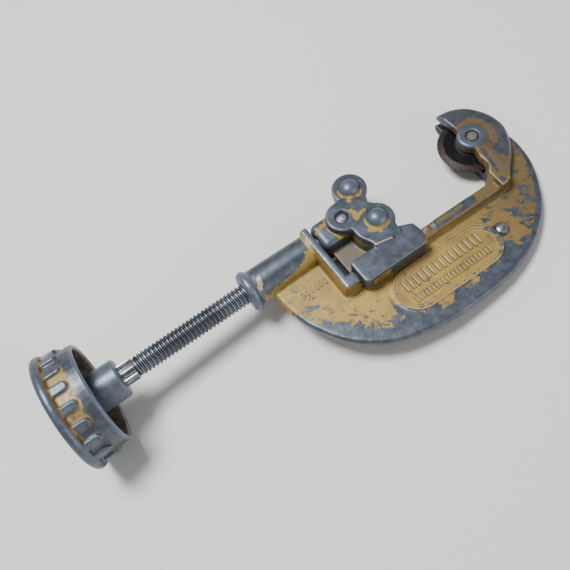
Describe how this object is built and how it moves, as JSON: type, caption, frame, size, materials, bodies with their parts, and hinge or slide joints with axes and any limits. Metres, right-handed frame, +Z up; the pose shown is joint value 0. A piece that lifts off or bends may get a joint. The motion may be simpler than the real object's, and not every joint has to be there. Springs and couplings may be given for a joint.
{
  "type": "pipe cutter",
  "caption": "Screw-feed pipe cutter: C-shaped cast frame with a cutting wheel, a sliding roller carriage, a threaded spindle with a cup-shaped knob, and a folding reamer.",
  "frame": {"origin": "on the floor under the middle of the whole tool's bounding box, as it lies on its back", "axes": "+X from the knob towards the cutting wheel along the tool's length, +Y towards the open side of the jaw, +Z up"},
  "size_m": [0.152, 0.0576, 0.0356],
  "materials": {
    "worn_casting": "worn gold paint over grey die-cast zinc",
    "bare_casting": "bare dull grey die-cast zinc",
    "bright_steel": "machined steel, dulled with age",
    "wheel_steel": "blackened steel with a rusty bevel"
  },
  "bodies": {
    "frame": {"frame": "worn_casting", "wheel_screw": "bright_steel", "reamer_rivet": "bright_steel", "reamer_washer": "bright_steel"},
    "carriage": {"slide": "bare_casting", "slide_keeper": "bare_casting", "keeper_screw_front": "bright_steel", "keeper_screw_back": "bright_steel", "roller_pin_upper": "bright_steel", "roller_pin_lower": "bright_steel", "screw_retaining_pin": "bright_steel"},
    "screw": {"feed_screw": "bright_steel", "knob": "worn_casting"},
    "roller_upper": {"roller_upper": "bright_steel"},
    "roller_lower": {"roller_lower": "bright_steel"},
    "wheel": {"cutter_wheel": "wheel_steel"},
    "reamer": {"reamer_blade": "bright_steel"}
  },
  "joints": [
    {"name": "slide_travel", "type": "slide", "parent": "frame", "child": "carriage", "axis": [0.996, 0, -0.0892], "range_m": [0, 0.0254]},
    {"name": "screw_turn", "type": "hinge", "parent": "carriage", "child": "screw", "pos_m": [-0.06296, 0.0109, 0.01693], "axis": [0.996, 0, -0.0892], "range_deg": [0, 7200]},
    {"name": "roller_upper_spin", "type": "hinge", "parent": "carriage", "child": "roller_upper", "pos_m": [0.02665, 0.01722, 0.00963], "axis": [0.0892, -0.0366, 0.9953], "continuous": true},
    {"name": "roller_lower_spin", "type": "hinge", "parent": "carriage", "child": "roller_lower", "pos_m": [0.02661, 0.00453, 0.00917], "axis": [0.0892, -0.0366, 0.9953], "continuous": true},
    {"name": "wheel_spin", "type": "hinge", "parent": "frame", "child": "wheel", "pos_m": [0.06502, 0.0103, 0.00544], "axis": [0.0892, -0.0366, 0.9953], "continuous": true},
    {"name": "reamer_fold", "type": "hinge", "parent": "frame", "child": "reamer", "pos_m": [0.0526, -0.01603, 0.00126], "axis": [0.0892, -0.0366, 0.9953], "range_deg": [0, 165]}
  ],
  "couplings": [
    {"joint": "slide_travel", "follows": "screw_turn", "m_per_rad": 0.0002021}
  ]
}
